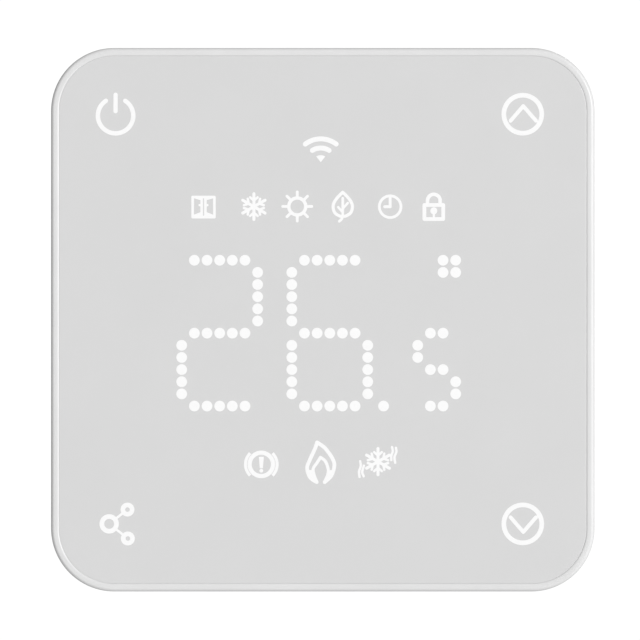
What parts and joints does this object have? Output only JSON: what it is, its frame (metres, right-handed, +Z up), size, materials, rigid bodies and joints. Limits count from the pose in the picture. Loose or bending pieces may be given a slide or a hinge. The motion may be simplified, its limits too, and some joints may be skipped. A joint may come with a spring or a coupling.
{
  "type": "wall thermostat",
  "caption": "Square flush-fitting touch thermostat: slim-rimmed front module with dot display, steel wall plate, and a can behind it with power board, relay and wire terminals.",
  "frame": {"origin": "middle of the wall-screw pattern, on the wall's face", "axes": "+X right, +Y into the wall, +Z up; the display faces -Y"},
  "size_m": [0.086, 0.042, 0.086],
  "materials": {
    "shell_white": "fine moulded satin",
    "panel_grey": "smooth, hard-coated",
    "film_white": "frosted",
    "mask_black": "matt",
    "lamp": "clear resin",
    "board_green": "solder mask",
    "spring_steel": "rolled",
    "zinc_steel": "zinc plated",
    "chip_black": "moulded",
    "shield_tin": "tin plated",
    "base_plastic": "fine spark-eroded texture",
    "screw_steel": "nickel plated",
    "header_black": "moulded",
    "pin_brass": "gold flashed",
    "ferrite": "ground ceramic",
    "winding": "enamelled copper wire",
    "tape_yellow": "polyester tape",
    "sleeve_dark": "shrunk sleeve",
    "film_box": "cast box",
    "disc_blue": "dipped epoxy",
    "fuse_brown": "moulded",
    "relay_white": "moulded",
    "relay_inner": "moulded",
    "iron": "soft iron, zinc plated",
    "contact_metal": "silver alloy on bronze",
    "terminal_green": "moulded polyamide",
    "nickel_brass": "nickel plated",
    "bead_black": "epoxy"
  },
  "bodies": {
    "wall_plate": {"base_housing": "base_plastic", "mounting_bracket": "zinc_steel", "retaining_springs": "spring_steel", "bracket_screws": "screw_steel", "board_cover": "base_plastic", "cover_screws": "screw_steel", "power_board": "board_green", "pin_header": "header_black", "header_pins": "pin_brass", "transformer_core": "ferrite", "transformer_coil": "tape_yellow", "main_capacitor": "sleeve_dark", "output_capacitor": "sleeve_dark", "film_capacitor": "film_box", "rectifier": "chip_black", "converter_chip": "chip_black", "varistor": "disc_blue", "fuse": "fuse_brown", "inductor": "winding", "relay_case": "relay_white", "relay_base": "relay_inner", "relay_bobbin": "relay_inner", "relay_coil": "winding", "relay_yoke": "iron", "relay_fixed_contacts": "contact_metal", "terminal_block_left": "terminal_green", "terminal_block_right": "terminal_green", "contact_bars": "nickel_brass"},
    "front_module": {"front_panel": "panel_grey", "bezel_frame": "shell_white", "diffuser_film": "film_white", "light_mask": "mask_black", "display_leds": "lamp", "control_board": "board_green", "touch_springs": "spring_steel", "wifi_board": "board_green", "wifi_shield": "shield_tin", "controller_chip": "chip_black", "led_driver_chips": "chip_black", "buzzer": "header_black", "temperature_sensor": "bead_black", "board_socket": "header_black", "board_passives": "chip_black", "module_back_cover": "base_plastic", "board_screws": "screw_steel"},
    "relay_armature": {"relay_armature": "iron", "relay_card": "relay_inner", "relay_moving_contact": "contact_metal"},
    "terminal_screw_1": {"terminal_screw_1": "screw_steel"},
    "clamp_cage_1": {"clamp_cage_1": "nickel_brass"},
    "terminal_screw_2": {"terminal_screw_2": "screw_steel"},
    "clamp_cage_2": {"clamp_cage_2": "nickel_brass"},
    "terminal_screw_3": {"terminal_screw_3": "screw_steel"},
    "clamp_cage_3": {"clamp_cage_3": "nickel_brass"},
    "terminal_screw_4": {"terminal_screw_4": "screw_steel"},
    "clamp_cage_4": {"clamp_cage_4": "nickel_brass"},
    "terminal_screw_5": {"terminal_screw_5": "screw_steel"},
    "clamp_cage_5": {"clamp_cage_5": "nickel_brass"},
    "terminal_screw_6": {"terminal_screw_6": "screw_steel"},
    "clamp_cage_6": {"clamp_cage_6": "nickel_brass"}
  },
  "joints": [
    {"name": "front_module_pull", "type": "slide", "parent": "wall_plate", "child": "front_module", "axis": [0, -1, 0], "range_m": [0, 0.04], "deforming": ["retaining_springs"]},
    {"name": "relay_armature_swing", "type": "hinge", "parent": "wall_plate", "child": "relay_armature", "pos_m": [-0.0041, 0.0058, 0.0155], "axis": [0, 0, 1], "range_deg": [0, 3.8], "stiffness_Nm_per_rad": 0.03, "springref_deg": -5.73},
    {"name": "terminal_screw_1_turn", "type": "hinge", "parent": "wall_plate", "child": "terminal_screw_1", "pos_m": [-0.01588, 0.0163, -0.0184], "axis": [0, -1, 0], "range_deg": [0, 1728]},
    {"name": "clamp_cage_1_rise", "type": "slide", "parent": "wall_plate", "child": "clamp_cage_1", "axis": [0, 1, 0], "range_m": [0, 0.0024]},
    {"name": "terminal_screw_2_turn", "type": "hinge", "parent": "wall_plate", "child": "terminal_screw_2", "pos_m": [-0.00953, 0.0163, -0.0184], "axis": [0, -1, 0], "range_deg": [0, 1728]},
    {"name": "clamp_cage_2_rise", "type": "slide", "parent": "wall_plate", "child": "clamp_cage_2", "axis": [0, 1, 0], "range_m": [0, 0.0024]},
    {"name": "terminal_screw_3_turn", "type": "hinge", "parent": "wall_plate", "child": "terminal_screw_3", "pos_m": [-0.00317, 0.0163, -0.0184], "axis": [0, -1, 0], "range_deg": [0, 1728]},
    {"name": "clamp_cage_3_rise", "type": "slide", "parent": "wall_plate", "child": "clamp_cage_3", "axis": [0, 1, 0], "range_m": [0, 0.0024]},
    {"name": "terminal_screw_4_turn", "type": "hinge", "parent": "wall_plate", "child": "terminal_screw_4", "pos_m": [0.00317, 0.0163, -0.0184], "axis": [0, -1, 0], "range_deg": [0, 1728]},
    {"name": "clamp_cage_4_rise", "type": "slide", "parent": "wall_plate", "child": "clamp_cage_4", "axis": [0, 1, 0], "range_m": [0, 0.0024]},
    {"name": "terminal_screw_5_turn", "type": "hinge", "parent": "wall_plate", "child": "terminal_screw_5", "pos_m": [0.00953, 0.0163, -0.0184], "axis": [0, -1, 0], "range_deg": [0, 1728]},
    {"name": "clamp_cage_5_rise", "type": "slide", "parent": "wall_plate", "child": "clamp_cage_5", "axis": [0, 1, 0], "range_m": [0, 0.0024]},
    {"name": "terminal_screw_6_turn", "type": "hinge", "parent": "wall_plate", "child": "terminal_screw_6", "pos_m": [0.01588, 0.0163, -0.0184], "axis": [0, -1, 0], "range_deg": [0, 1728]},
    {"name": "clamp_cage_6_rise", "type": "slide", "parent": "wall_plate", "child": "clamp_cage_6", "axis": [0, 1, 0], "range_m": [0, 0.0024]}
  ],
  "couplings": [
    {"joint": "terminal_screw_1_turn", "follows": "clamp_cage_1_rise", "rad_per_m": 12566},
    {"joint": "terminal_screw_2_turn", "follows": "clamp_cage_2_rise", "rad_per_m": 12566},
    {"joint": "terminal_screw_3_turn", "follows": "clamp_cage_3_rise", "rad_per_m": 12566},
    {"joint": "terminal_screw_4_turn", "follows": "clamp_cage_4_rise", "rad_per_m": 12566},
    {"joint": "terminal_screw_5_turn", "follows": "clamp_cage_5_rise", "rad_per_m": 12566},
    {"joint": "terminal_screw_6_turn", "follows": "clamp_cage_6_rise", "rad_per_m": 12566}
  ]
}
